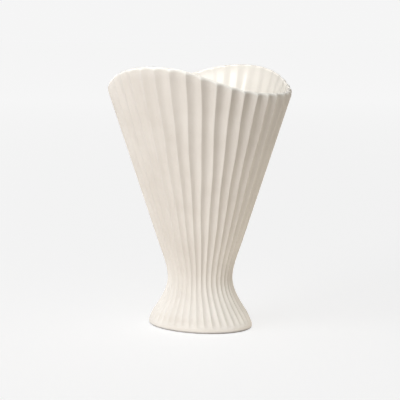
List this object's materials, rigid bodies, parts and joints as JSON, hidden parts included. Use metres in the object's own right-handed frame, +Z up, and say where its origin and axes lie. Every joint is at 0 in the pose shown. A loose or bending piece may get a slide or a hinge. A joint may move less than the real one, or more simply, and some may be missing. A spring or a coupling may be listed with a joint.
{
  "type": "fan vase",
  "caption": "Fluted stoneware vase: a spreading oval foot, a narrow waist and a wide fan-shaped mouth with a wavy rim, high at front and back.",
  "frame": {"origin": "centre of the foot's underside, on the surface that the vase stands on", "axes": "+Z up through the mouth, which is the longest extent; X runs along the foot's long axis, to the low parts of the rim; Y runs to the rim's two high parts"},
  "size_m": [0.1986, 0.202, 0.28],
  "materials": {
    "stoneware_body": "matte",
    "interior_glaze": "gloss"
  },
  "bodies": {
    "root": {"stoneware_body": "stoneware_body", "interior_glaze": "interior_glaze"}
  },
  "joints": []
}
